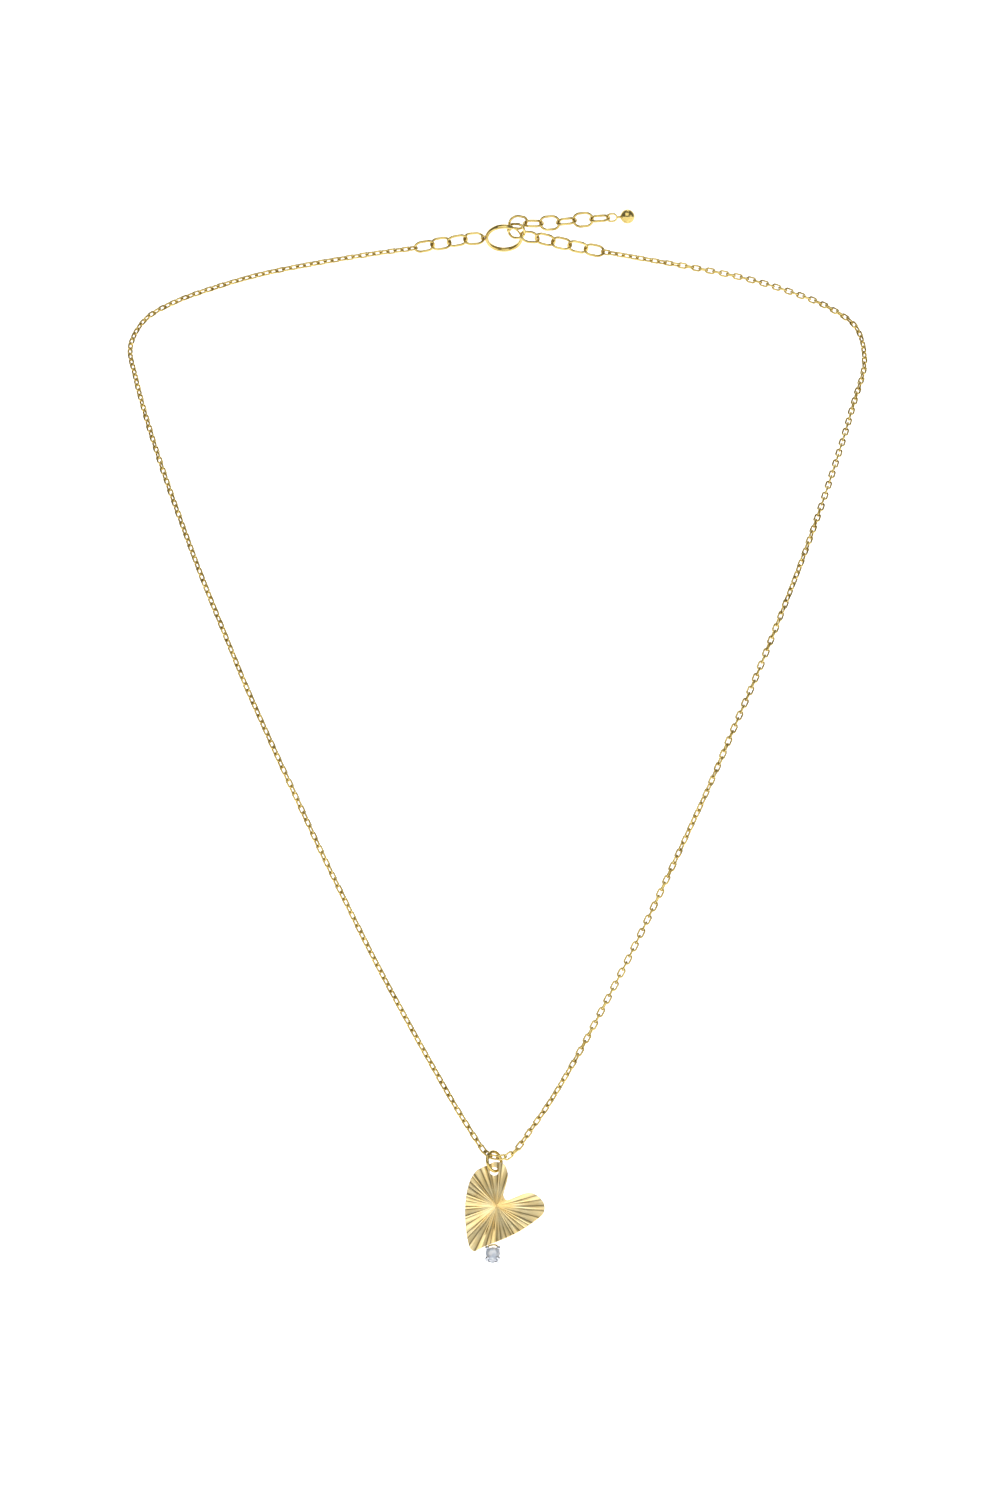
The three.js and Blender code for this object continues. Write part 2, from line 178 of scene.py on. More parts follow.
def engravedGold():
    material, tree, shader, coords = startMaterial("engravedGold")
    cutFinish = {**goldFinish, "Low Roughness": engravedFinishAndShade["lowRoughness"],
                 "High Roughness": engravedFinishAndShade["highRoughness"]}
    marks, ripple = addPolish(tree, coords, cutFinish, engravedFinishAndShade["bump"])
    valley = addNode(tree, "ShaderNodeAttribute", attribute_name="valley")
    # painted shade: the deepest part of each groove is mixed towards a near-black colour
    floor = mathNode(tree, "POWER", valley.outputs["Fac"], 4.0)
    crest = mixColours(tree, marks.outputs["Tone"], engravedFinishAndShade["facet"], engravedFinishAndShade["ridge"])
    tree.links.new(mixColours(tree, floor, crest, engravedFinishAndShade["paintedGrooveShade"]), shader.inputs["Base Color"])
    shader.inputs["Metallic"].default_value = 1.0
    tree.links.new(marks.outputs["Roughness"], shader.inputs["Roughness"])
    tree.links.new(ripple.outputs["Normal"], shader.inputs["Normal"])
    return material


heartGold = engravedGold()


# Painted reflection: noise patches mix a grey-blue colour into the near-white body, and grain sets the size
# of these patches.
stoneBodyAndReflection = {"body": (0.97, 0.98, 1.0), "paintedReflection": (0.70, 0.78, 0.90), "grain": 1500.0}


def clearStone():
    material, tree, shader, coords = startMaterial("clearStone")
    # painted reflection patches over the stone's own colour
    reflectionPatches = addNode(tree, "ShaderNodeTexNoise", {"Scale": stoneBodyAndReflection["grain"], "Detail": 1.0})
    tree.links.new(coords, reflectionPatches.inputs["Vector"])
    sharp = addNode(tree, "ShaderNodeMapRange", {"From Min": 0.4, "From Max": 0.62})
    tree.links.new(reflectionPatches.outputs[0], sharp.inputs["Value"])
    tree.links.new(mixColours(tree, sharp.outputs[0], stoneBodyAndReflection["paintedReflection"], stoneBodyAndReflection["body"]),
                   shader.inputs["Base Color"])
    shader.inputs["Roughness"].default_value = 0.02
    shader.inputs["IOR"].default_value = 2.0
    shader.inputs["Transmission Weight"].default_value = 0.45
    return material


stoneLook = clearStone()
print("finishes ready")


def makeOvalLink():  # one closed loop of round wire, longer along X
    tree = bpy.data.node_groups.new("ovalLink", "GeometryNodeTree")
    addSockets(tree, [("Link Length", "NodeSocketFloat", 0.003), ("Link Width", "NodeSocketFloat", 0.002),
                      ("Wire", "NodeSocketFloat", 0.0003), ("Steps", "NodeSocketInt", 12),
                      ("Sides", "NodeSocketInt", 5), ("Metal", "NodeSocketMaterial", None)],
               [("Geometry", "NodeSocketGeometry")])
    link = tree.links.new
    given = tree.nodes.new("NodeGroupInput")
    out = tree.nodes.new("NodeGroupOutput")
    endRadius = mathNode(tree, "MULTIPLY", mathNode(tree, "SUBTRACT", given.outputs["Link Width"],
                                                    given.outputs["Wire"]), 0.5)
    straight = mathNode(tree, "MULTIPLY", mathNode(tree, "SUBTRACT", given.outputs["Link Length"],
                                                   given.outputs["Link Width"]), 0.5)
    loop = addNode(tree, "GeometryNodeCurvePrimitiveCircle")
    link(given.outputs["Steps"], loop.inputs["Resolution"])
    link(endRadius, loop.inputs["Radius"])
    halfStep = mathNode(tree, "DIVIDE", math.pi, given.outputs["Steps"])
    turn = addNode(tree, "ShaderNodeCombineXYZ")
    link(halfStep, turn.inputs["Z"])
    turned = addNode(tree, "GeometryNodeTransform")
    link(loop.outputs[0], turned.inputs["Geometry"])
    link(turn.outputs[0], turned.inputs["Rotation"])
    place = addNode(tree, "ShaderNodeSeparateXYZ")
    link(addNode(tree, "GeometryNodeInputPosition").outputs[0], place.inputs[0])
    shift = addNode(tree, "ShaderNodeCombineXYZ")
    link(mathNode(tree, "MULTIPLY", mathNode(tree, "SIGN", place.outputs["X"]), straight), shift.inputs["X"])
    stretched = addNode(tree, "GeometryNodeSetPosition")
    link(turned.outputs[0], stretched.inputs["Geometry"])
    link(shift.outputs[0], stretched.inputs["Offset"])
    section = addNode(tree, "GeometryNodeCurvePrimitiveCircle")
    link(given.outputs["Sides"], section.inputs["Resolution"])
    link(mathNode(tree, "MULTIPLY", given.outputs["Wire"], 0.5), section.inputs["Radius"])
    wire = addNode(tree, "GeometryNodeCurveToMesh")
    link(stretched.outputs[0], wire.inputs["Curve"])
    link(section.outputs[0], wire.inputs["Profile Curve"])
    smooth = addNode(tree, "GeometryNodeSetShadeSmooth")
    link(wire.outputs[0], smooth.inputs["Geometry"])
    real = addNode(tree, "GeometryNodeRealizeInstances")
    link(smooth.outputs[0], real.inputs[0])
    metal = addNode(tree, "GeometryNodeSetMaterial")
    link(real.outputs[0], metal.inputs["Geometry"])
    link(given.outputs["Metal"], metal.inputs["Material"])
    link(metal.outputs[0], out.inputs[0])
    return tree


def makeChainTree():  # links along a route, each a quarter turn from the last
    tree = bpy.data.node_groups.new("cableChain", "GeometryNodeTree")
    addSockets(tree, [("Route", "NodeSocketGeometry", None), ("Count", "NodeSocketInt", 10),
                      ("Link Length", "NodeSocketFloat", 0.003), ("Link Width", "NodeSocketFloat", 0.002),
                      ("Wire", "NodeSocketFloat", 0.0003), ("Roll", "NodeSocketFloat", 0.78),
                      ("Twist", "NodeSocketFloat", 0.0), ("Waves", "NodeSocketFloat", 1.0),
                      ("Phase", "NodeSocketFloat", 0.0), ("Wobble", "NodeSocketFloat", 0.1),
                      ("Seed", "NodeSocketInt", 1), ("Metal", "NodeSocketMaterial", None)],
               [("Geometry", "NodeSocketGeometry")])
    link = tree.links.new
    given = tree.nodes.new("NodeGroupInput")
    out = tree.nodes.new("NodeGroupOutput")
    line = addNode(tree, "GeometryNodeMeshToCurve")
    link(given.outputs["Route"], line.inputs[0])
    spaced = addNode(tree, "GeometryNodeResampleCurve")
    link(line.outputs[0], spaced.inputs["Curve"])
    link(given.outputs["Count"], spaced.inputs["Count"])
    heading = addNode(tree, "FunctionNodeAlignRotationToVector", axis="X")
    link(addNode(tree, "GeometryNodeInputTangent").outputs[0], heading.inputs["Vector"])
    facing = addNode(tree, "FunctionNodeAlignRotationToVector", {"Vector": (0.0, -1.0, 0.0)}, axis="Z",
                     pivot_axis="X")
    link(heading.outputs[0], facing.inputs["Rotation"])
    index = addNode(tree, "GeometryNodeInputIndex").outputs[0]
    quarter = mathNode(tree, "MULTIPLY", mathNode(tree, "MODULO", index, 2.0), math.pi / 2)
    part = mathNode(tree, "DIVIDE", index, given.outputs["Count"])
    turns = mathNode(tree, "MULTIPLY", part, given.outputs["Waves"])
    wave = mathNode(tree, "ADD", turns, given.outputs["Phase"])
    swing = mathNode(tree, "SINE", mathNode(tree, "MULTIPLY", wave, 2 * math.pi))
    twist = mathNode(tree, "MULTIPLY", swing, given.outputs["Twist"])
    chance = addNode(tree, "FunctionNodeRandomValue", data_type="FLOAT")
    link(mathNode(tree, "MULTIPLY", given.outputs["Wobble"], -1.0), chance.inputs[2])
    link(given.outputs["Wobble"], chance.inputs[3])
    link(given.outputs["Seed"], chance.inputs["Seed"])
    steady = mathNode(tree, "ADD", mathNode(tree, "ADD", given.outputs["Roll"], quarter), twist)
    turn = addNode(tree, "ShaderNodeCombineXYZ")
    link(mathNode(tree, "ADD", steady, chance.outputs[1]), turn.inputs["X"])
    roll = addNode(tree, "FunctionNodeEulerToRotation")
    link(turn.outputs[0], roll.inputs[0])
    rolled = addNode(tree, "FunctionNodeRotateRotation", rotation_space="LOCAL")
    link(facing.outputs[0], rolled.inputs["Rotation"])
    link(roll.outputs[0], rolled.inputs["Rotate By"])
    single = addNode(tree, "GeometryNodeGroup", node_tree=ovalLink)
    for label in ("Link Length", "Link Width", "Wire", "Metal"):
        link(given.outputs[label], single.inputs[label])
    spread = addNode(tree, "GeometryNodeInstanceOnPoints")
    link(spaced.outputs[0], spread.inputs["Points"])
    link(single.outputs[0], spread.inputs["Instance"])
    link(rolled.outputs[0], spread.inputs["Rotation"])
    real = addNode(tree, "GeometryNodeRealizeInstances")
    link(spread.outputs[0], real.inputs[0])
    metal = addNode(tree, "GeometryNodeSetMaterial")
    link(real.outputs[0], metal.inputs["Geometry"])
    link(given.outputs["Metal"], metal.inputs["Material"])
    link(metal.outputs[0], out.inputs[0])
    return tree


ovalLink = makeOvalLink()
cableChain = makeChainTree()


def grow(mesh, tree, values):  # runs a node tree on a mesh and gives back the plain result
    helper = bpy.data.objects.new("helper", mesh)
    scene.collection.objects.link(helper)
    modifier = helper.modifiers.new("nodes", "NODES")
    modifier.node_group = tree
    for item in tree.interface.items_tree:
        if item.item_type == "SOCKET" and item.in_out == "INPUT" and item.name in values:
            modifier[item.identifier] = values[item.name]
    helper.update_tag()
    result = bpy.data.meshes.new_from_object(helper.evaluated_get(bpy.context.evaluated_depsgraph_get()))
    bpy.data.objects.remove(helper)
    return result


def addPiece(name, mesh, body, nodes, material=None):
    mesh.name = name
    if material:
        mesh.materials.clear()
        mesh.materials.append(material)
    piece = bpy.data.objects.new(name, mesh)
    scene.collection.objects.link(piece)
    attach(piece, body)
    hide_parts(*nodes)
    return piece


def frameOf(node, towards=None):  # middle, long axis and width axis of a loop in the frame model
    corners = np.array([vertex.co[:] for vertex in cadNodes[node].data.vertices])
    corners = np.unique(np.round(corners, 7), axis=0) / mm
    middle = corners.mean(axis=0)
    axes = np.linalg.eigh(np.cov((corners - middle).T))[1]
    middle, along, across = Vector(middle), Vector(axes[:, 2]), Vector(axes[:, 1])
    if towards is not None and along.dot(Vector(towards) - middle) < 0:
        along.negate()
    return middle, along, across


def placeMatrix(middle, along, across):
    normal = along.cross(across)
    turn = Matrix((along, across, normal)).transposed().to_4x4()
    return Matrix.Diagonal((mm, mm, mm, 1.0)) @ Matrix.Translation(middle) @ turn


loopSizes = {
    "large": {"length": 3.32, "width": 2.54, "wire": 0.4, "steps": 32, "sides": 12},
    "fine": {"length": 1.59, "width": 1.0, "wire": 0.28, "steps": 20, "sides": 10},
    "ballLoop": {"length": 1.8, "width": 1.5, "wire": 0.3, "steps": 28, "sides": 12},
}

fineChain = {"length": 1.67, "width": 1.05, "wire": 0.3, "wobble": 0.09}
leftChain = {
    "roll": 45.0, "twist": 8.0, "waves": 3.0, "phase": 0.1, "seed": 3,
    "route": [
        (-13.78, -0.82, -1.55), (-20.0, -1.5, -2.4), (-28.5, -2.9, -3.8), (-36.5, -4.8, -5.4),
        (-43.5, -8.0, -7.4),
        (-49.0, -11.5, -9.4), (-53.2, -14.9, -11.9), (-55.2, -19.0, -15.8), (-54.2, -23.6, -20.3),
        (-52.4, -29.3, -25.8), (-49.9, -35.8, -32.5), (-46.7, -43.0, -40.3), (-43.4, -49.3, -48.1),
        (-40.0, -54.7, -55.7), (-36.6, -59.3, -63.3), (-33.0, -63.4, -70.8), (-29.4, -66.8, -78.2),
        (-25.8, -69.8, -85.6), (-22.0, -72.7, -93.0), (-18.2, -75.7, -100.2), (-14.2, -78.7, -107.3),
        (-10.1, -81.7, -114.3), (-6.2, -84.5, -120.7), (-2.98, -86.65, -125.42),
    ],
}
rightChain = {
    "roll": 45.0, "twist": 42.0, "waves": 2.2, "phase": -0.05, "seed": 8,
    "route": [
        (15.45, -1.12, -2.15), (21.5, -1.9, -3.2), (29.5, -3.3, -4.6), (37.0, -5.2, -6.2), (43.5, -8.5, -8.2),
        (48.5, -12.1, -10.3), (52.2, -15.6, -13.1), (53.2, -20.4, -18.0), (51.3, -26.6, -23.9),
        (48.9, -33.3, -30.6), (45.8, -40.8, -38.6), (42.6, -47.4, -46.4), (39.3, -53.1, -54.0),
        (35.9, -57.9, -61.7), (32.4, -62.2, -69.2), (29.0, -65.8, -76.7), (25.4, -68.9, -84.1),
        (21.8, -71.9, -91.5), (18.1, -74.8, -98.8), (14.2, -77.8, -106.0), (10.2, -80.8, -113.1),
        (6.5, -83.4, -119.0), (3.3, -85.5, -123.4), (2.2, -86.1, -124.9), (1.35, -86.5, -125.85),
        (0.62, -86.74, -126.3),
    ],
}


def smoothLine(points, steps=10, closed=False):  # centripetal curve through the points
    points = [Vector(point) for point in points]
    if closed:
        padded = [points[-1], *points, points[0], points[1]]
    else:
        padded = [2 * points[0] - points[1], *points, 2 * points[-1] - points[-2]]
    line = []
    for a, b, c, d in zip(padded, padded[1:], padded[2:], padded[3:]):
        before, here, after = ((q - p).length ** 0.5 for p, q in ((a, b), (b, c), (c, d)))
        leave = ((b - a) / before - (c - a) / (before + here) + (c - b) / here) * here
        arrive = ((c - b) / here - (d - b) / (here + after) + (d - c) / after) * here
        for step in range(steps):
            t = step / steps
            line.append(b + leave * t + (3 * (c - b) - 2 * leave - arrive) * t ** 2
                        + (2 * (b - c) + leave + arrive) * t ** 3)
    return line if closed else [*line, points[-1]]


def pointsAlong(line, distances):
    run = np.cumsum([0.0] + [(q - p).length for p, q in zip(line, line[1:])])
    axes = [[point[k] for point in line] for k in range(3)]
    return [Vector([np.interp(d, run, axis) for axis in axes]) for d in distances], run[-1]


def linkContact(node, towards, sizes):  # where the next link's wire lies in this one's far end
    middle, along, across = frameOf(node, towards)
    return middle + along * (sizes["length"] / 2 - sizes["wire"])


def addChain(name, run, node, endLink, hungLink):
    route = run["route"]
    first = linkContact(endLink, route[0], loopSizes["large"])
    last = linkContact(hungLink, route[-1], loopSizes["fine"])
    line = smoothLine([first, *route, last])
    total = pointsAlong(line, [0.0])[1]
    pitch = fineChain["length"] - 2 * fineChain["wire"]
    count = round(total / pitch)
    pitch = total / count
    middles, total = pointsAlong(line, np.linspace(pitch / 2, total - pitch / 2, 900))
    route3d = bpy.data.meshes.new(name + "Route")
    route3d.from_pydata([point * mm for point in middles], [(k, k + 1) for k in range(len(middles) - 1)], [])
    mesh = grow(route3d, cableChain, {
        "Count": count, "Link Length": fineChain["length"] * mm,
        "Link Width": fineChain["width"] * mm, "Wire": fineChain["wire"] * mm,
        "Roll": math.radians(run["roll"]), "Twist": math.radians(run["twist"]), "Waves": run["waves"],
        "Phase": run["phase"], "Wobble": fineChain["wobble"], "Seed": run["seed"], "Metal": yellowGold})
    piece = addPiece(name, mesh, "worn_chain", [node])
    print(f"{name}: {count} links over {total:.1f} mm")


addChain("leftChain", leftChain, "left_chain_run", "left_end_link_4", "hanging_link_left")
addChain("rightChain", rightChain, "right_chain_run", "right_end_link_5", "hanging_link_right")


# The loops of wire: end links, extender, hanging links and the ball's own loop.
def addLoop(name, node, body, sizes):
    mesh = grow(bpy.data.meshes.new("seed"), ovalLink, {
        "Link Length": sizes["length"], "Link Width": sizes["width"], "Wire": sizes["wire"],
        "Steps": sizes["steps"], "Sides": sizes["sides"], "Metal": yellowGold})
    mesh.transform(placeMatrix(*frameOf(node)))
    return addPiece(name, mesh, body, [node])


linkRuns = [("leftEndLink", "left_end_link", 4), ("rightEndLink", "right_end_link", 5),
            ("extenderLink", "extender_link", 6)]
for pieceName, nodeName, linkCount in linkRuns:
    for number in range(1, linkCount + 1):
        addLoop(f"{pieceName}{number}", f"{nodeName}_{number}", f"{nodeName}_{number}", loopSizes["large"])
addLoop("hookedLink", "hooked_link", "hooked_link", loopSizes["large"])
addLoop("hangingLink", "hanging_link", "worn_chain", loopSizes["fine"])
addLoop("hangingLinkLeft", "hanging_link_left", "worn_chain", loopSizes["fine"])
addLoop("hangingLinkRight", "hanging_link_right", "worn_chain", loopSizes["fine"])
addLoop("endBallLoop", "end_ball_loop", "end_ball", loopSizes["ballLoop"])
print("loops made")


def meshFrom(name, points, faces, smooth=True):
    mesh = bpy.data.meshes.new(name)
    mesh.from_pydata(points, [], faces)
    shape = bmesh.new()
    shape.from_mesh(mesh)
    bmesh.ops.remove_doubles(shape, verts=shape.verts, dist=1e-5)
    bmesh.ops.recalc_face_normals(shape, faces=shape.faces)
    shape.to_mesh(mesh)
    shape.free()
    mesh.polygons.foreach_set("use_smooth", [smooth] * len(mesh.polygons))
    return mesh


def turned(name, profile, sides=32):  # a closed profile of (radius, height), turned about Z
    points, faces = [], []
    for k in range(sides):
        turn = 2 * math.pi * k / sides
        points += [(r * math.cos(turn), r * math.sin(turn), h) for r, h in profile]
    rows = len(profile)
    for k in range(sides):
        a, b = k * rows, (k + 1) % sides * rows
        for j in range(rows - 1):
            corners = [a + j, b + j, b + j + 1, a + j + 1]
            if profile[j][0] == 0:
                corners = [a + j, b + j + 1, a + j + 1]
            elif profile[j + 1][0] == 0:
                corners = [a + j, b + j, a + j + 1]
            faces.append(corners)
    return meshFrom(name, points, faces)


def rod(name, line, radii, sides=14, closed=False):  # a round wire along a line, with rounded ends
    line = [Vector(point) for point in line]
    count = len(line)
    if isinstance(radii, (int, float)):
        radii = [radii] * count
    rings = []
    side = None
    for k, point in enumerate(line):
        ahead = line[(k + 1) % count] if closed or k < count - 1 else point
        behind = line[k - 1] if closed or k > 0 else point
        tangent = (ahead - behind).normalized()
        if side is None:
            side = tangent.orthogonal().normalized()
        side = (side - tangent * side.dot(tangent)).normalized()
        rings.append((point, tangent, side, radii[k]))
    if not closed:
        def cap(ring, direction):
            point, tangent, across, radius = ring
            turns = [math.radians(angle) for angle in (25, 50, 72, 89)]
            return [(point + tangent * direction * radius * math.sin(turn), tangent, across,
                     radius * math.cos(turn)) for turn in turns]
        rings = [*reversed(cap(rings[0], -1)), *rings, *cap(rings[-1], 1)]
    points, faces = [], []
    for point, tangent, across, radius in rings:
        up = tangent.cross(across)
        for j in range(sides):
            turn = 2 * math.pi * j / sides
            points.append(point + across * radius * math.cos(turn) + up * radius * math.sin(turn))
    for k in range(len(rings) - (0 if closed else 1)):
        a, b = k * sides, (k + 1) % len(rings) * sides
        faces += [(a + j, a + (j + 1) % sides, b + (j + 1) % sides, b + j) for j in range(sides)]
    if not closed:
        faces += [list(range(sides)), [(len(rings) - 1) * sides + j for j in reversed(range(sides))]]
    return meshFrom(name, points, faces)


def cut(mesh, tool, operation="DIFFERENCE"):
    objects = [bpy.data.objects.new("cutWork", mesh), bpy.data.objects.new("cutTool", tool)]
    for item in objects:
        scene.collection.objects.link(item)
    modifier = objects[0].modifiers.new("cut", "BOOLEAN")
    modifier.operation = operation
    modifier.solver = "EXACT"
    modifier.object = objects[1]
    result = bpy.data.meshes.new_from_object(objects[0].evaluated_get(bpy.context.evaluated_depsgraph_get()))
    for item in objects:
        bpy.data.objects.remove(item)
    return result


def smoothBelow(mesh, degrees):  # smooth faces with sharp edges where the surface turns further than this
    shape = bmesh.new()
    shape.from_mesh(mesh)
    bmesh.ops.remove_doubles(shape, verts=shape.verts, dist=1e-4)
    for face in shape.faces:
        face.smooth = True
    for edge in shape.edges:
        edge.smooth = len(edge.link_faces) == 2 and edge.calc_face_angle(0.0) < math.radians(degrees)
    shape.to_mesh(mesh)
    shape.free()
    return mesh


endBall = {"radius": 1.1, "stem": 0.35, "stemRadius": 0.22, "gap": 0.02}


def addEndBall():
    low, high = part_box("end_ball")
    loopMiddle, along, across = frameOf("end_ball_loop", [500 * (a + b) for a, b in zip(low, high)])
    radius = endBall["radius"]
    reach = loopSizes["ballLoop"]["length"] / 2 + endBall["gap"] + endBall["stem"] + radius
    neck = math.asin(endBall["stemRadius"] / radius)
    profile = [(0.0, -radius - endBall["stem"]), (endBall["stemRadius"] * 0.8, -radius - endBall["stem"]),
               (endBall["stemRadius"], -radius - endBall["stem"] + 0.06)]
    turns = np.linspace(-math.pi / 2 + neck, math.pi / 2, 24)
    profile += [(radius * math.cos(turn), radius * math.sin(turn)) for turn in turns[:-1]] + [(0.0, radius)]
    mesh = smoothBelow(turned("endBall", profile, 40), 35)
    mesh.transform(placeMatrix(loopMiddle + along * reach, across, along.cross(across)))
    addPiece("endBall", mesh, "end_ball", ["end_ball"], yellowGold)


addEndBall()


clasp = {"radius": 2.59, "radial": 0.275, "axial": 0.4, "bore": 0.19, "gate": (8, 62), "slot": (61, 124),
         "eyeletOffset": 3.02, "eyeletSize": 1.1, "eyeletWire": 0.26, "boltRadius": 0.15, "boltSpan": (5, 72),
         "knobAngle": 67.5, "tilt": 47.5, "gateCut": (1.0, 4.0, 2.0), "slotCut": (1.5, 2.59, 0.3),
         "knob": [(0.0, 0.0), (0.11, 0.0), (0.11, 0.2), (0.17, 0.24), (0.27, 0.3), (0.3, 0.38), (0.3, 0.66),
                  (0.27, 0.76), (0.19, 0.83), (0.0, 0.85)]}
claspUp = Vector((0, -math.sin(math.radians(clasp["tilt"])), math.cos(math.radians(clasp["tilt"]))))
claspPlace = placeMatrix(Vector(), Vector((1, 0, 0)), claspUp)


def onClasp(angle, radius=clasp["radius"], height=0.0):
    turn = math.radians(angle)
    return Vector((radius * math.cos(turn), radius * math.sin(turn), height))


def ringAround(name, radial, axial, steps, sides):
    points, faces = [], []
    for k in range(steps):
        for j in range(sides):
            section = 2 * math.pi * j / sides
            points.append(onClasp(360 * k / steps, clasp["radius"] + radial * math.cos(section),
                                  axial * math.sin(section)))
    for k in range(steps):
        a, b = k * sides, (k + 1) % steps * sides
        faces += [(a + j, b + j, b + (j + 1) % sides, a + (j + 1) % sides) for j in range(sides)]
    return meshFrom(name, points, faces)


def sectorBlock(name, span, inner, outer, height):
    angles = np.linspace(span[0], span[1], 14)
    points, faces = [], []
    for angle in angles:
        points += [onClasp(angle, reach, level) for reach, level in
                   ((inner, -height / 2), (outer, -height / 2), (outer, height / 2), (inner, height / 2))]
    for k in range(len(angles) - 1):
        a, b = 4 * k, 4 * k + 4
        faces += [(a + j, b + j, b + (j + 1) % 4, a + (j + 1) % 4) for j in range(4)]
    faces += [(0, 1, 2, 3), tuple(len(points) - 1 - j for j in range(4))]
    return meshFrom(name, points, faces)


def addClasp():
    ring = ringAround("claspRing", clasp["radial"], clasp["axial"], 120, 28)
    size, wire = clasp["eyeletSize"], clasp["eyeletWire"]
    turns = np.linspace(0, 2 * math.pi, 33)[:-1]
    eyelet = (size - wire) / 2
    circle = [Vector((-clasp["eyeletOffset"] + eyelet * math.cos(turn), eyelet * math.sin(turn), 0))
              for turn in turns]
    ring = cut(ring, rod("eyelet", circle, wire / 2, closed=True), "UNION")
    ring = cut(ring, ringAround("bore", clasp["bore"], clasp["bore"], 96, 20))
    ring = cut(ring, sectorBlock("gate", clasp["gate"], *clasp["gateCut"]))
    ring = cut(ring, sectorBlock("slot", clasp["slot"], *clasp["slotCut"]))
    ring = smoothBelow(ring, 32)
    ring.transform(claspPlace)
    addPiece("claspRing", ring, "clasp", ["clasp_ring"], yellowGold)

    boltLine = [onClasp(angle) for angle in np.linspace(*clasp["boltSpan"], 24)]
    bolt = rod("claspBolt", boltLine, clasp["boltRadius"], 16)
    bolt.transform(claspPlace)
    addPiece("claspBolt", bolt, "bolt", ["clasp_bolt"], yellowGold)

    knob = turned("claspTrigger", clasp["knob"], 28)
    inward = -onClasp(clasp["knobAngle"], 1.0)
    foot = onClasp(clasp["knobAngle"], clasp["radius"] - clasp["boltRadius"] - 0.01)
    side = Vector((0, 0, 1))
    knob.transform(claspPlace @ Matrix.Translation(foot)
                   @ Matrix((side, inward.cross(side), inward)).transposed().to_4x4())
    addPiece("claspTrigger", knob, "bolt", ["clasp_trigger"], yellowGold)


addClasp()
spring = cadNodes["clasp_spring"]
spring.data.materials.clear()
spring.data.materials.append(springSteel)
print("clasp made")


pendant = {"lean": 20.0, "lowestLink": (-1.4, -86.8, -126.5), "ringDrop": 0.59, "holeDrop": 1.42}
pendantUp = Vector((0, math.sin(math.radians(pendant["lean"])), math.cos(math.radians(pendant["lean"]))))
pendantFront = Vector((0, -pendantUp.z, pendantUp.y))
ringMiddle = Vector(pendant["lowestLink"]) - pendantUp * pendant["ringDrop"]
holeMiddle = ringMiddle - pendantUp * pendant["holeDrop"]
pendantPlace = placeMatrix(holeMiddle, Vector((1, 0, 0)), pendantUp)

jumpRing = {"diameter": 3.2, "wire": 0.46, "yaw": 45.0}


def addJumpRing():
    yaw = math.radians(jumpRing["yaw"])
    across = Vector((-math.cos(yaw), 0, 0)) + pendantFront * math.sin(yaw)
    radius = (jumpRing["diameter"] - jumpRing["wire"]) / 2
    turns = np.linspace(0, 2 * math.pi, 97)[:-1]
    line = [across * radius * math.cos(turn) + pendantUp * radius * math.sin(turn) for turn in turns]
    mesh = rod("jumpRing", line, jumpRing["wire"] / 2, 24, closed=True)
    mesh.transform(Matrix.Diagonal((mm, mm, mm, 1.0)) @ Matrix.Translation(ringMiddle))
    addPiece("jumpRing", mesh, "jump_ring", ["pendant_jump_ring"], yellowGold)


addJumpRing()

# The heart is cut like a sunburst: every groove runs from one centre to the edge.
heart = {
    "thickness": 0.4, "holeRadius": 0.6, "burst": (0.33, -4.87), "grooves": 44, "depth": 0.1,
    "fullDepthAt": 3.2,
    "unevenSpacing": 0.26, "unevenRidge": 0.2, "edgeRound": 0.05, "notch": 0.035, "backCrown": 0.03,
    "outline": [
        (0.33, 1.36), (-0.47, 1.16), (-1.23, 0.78), (-2.34, 0.23), (-3.25, -0.99), (-3.86, -3.11),
        (-4.06, -5.23), (-3.99, -7.5), (-3.72, -9.6), (-3.34, -10.83), (-2.77, -11.27), (-2.07, -10.93),
        (-0.98, -10.4), (0.86, -9.73), (3.41, -8.51), (5.7, -6.96), (6.85, -5.87), (6.96, -4.67),
        (6.12, -3.51), (4.87, -2.98), (3.48, -3.38), (2.44, -3.84), (1.69, -4.02), (1.3, -3.39),
        (1.65, -1.91), (1.91, -0.34), (1.4, 0.99),
    ],
}
strayCuts = [{"angle": 248.5, "from": 0.5, "to": 4.15, "half": 1.7, "depth": 0.17},
             {"angle": 263.5, "from": 0.6, "to": 3.2, "half": 1.6, "depth": 0.13}]


def heartReach():  # the outline's distance from the burst's centre at any angle, in degrees
    line = smoothLine([(x, y, 0) for x, y in heart["outline"]], 24, closed=True)
    offsets = [(p.x - heart["burst"][0], p.y - heart["burst"][1]) for p in line]
    angles = np.degrees([math.atan2(y, x) for x, y in offsets]) % 360
    order = np.argsort(angles)
    return angles[order], np.hypot(*np.array(offsets).T)[order]


outlineAngles, outlineReach = heartReach()


def reachAt(angle):
    return float(np.interp(angle % 360, outlineAngles, outlineReach, period=360))


def grooveAngles():  # uneven but repeatable: valleys, with a ridge somewhere between each pair
    count = heart["grooves"]
    step = 360 / count
    uneven = [heart["unevenSpacing"] * math.sin(7.3 * k + 2.1 * math.sin(3.7 * k)) for k in range(count)]
    valleys = [step * (k + shift) for k, shift in enumerate(uneven)]
    creases = []
    for k, angle in enumerate(valleys):
        following = valleys[(k + 1) % count] + (360 if k == count - 1 else 0)
        share = 0.5 + heart["unevenRidge"] * math.sin(5.1 * k + 0.7)
        creases += [(angle, 1.0), (angle + (following - angle) * share, 0.0)]
    return creases


creases = grooveAngles()
creaseAngles, creaseValues = zip(*creases)


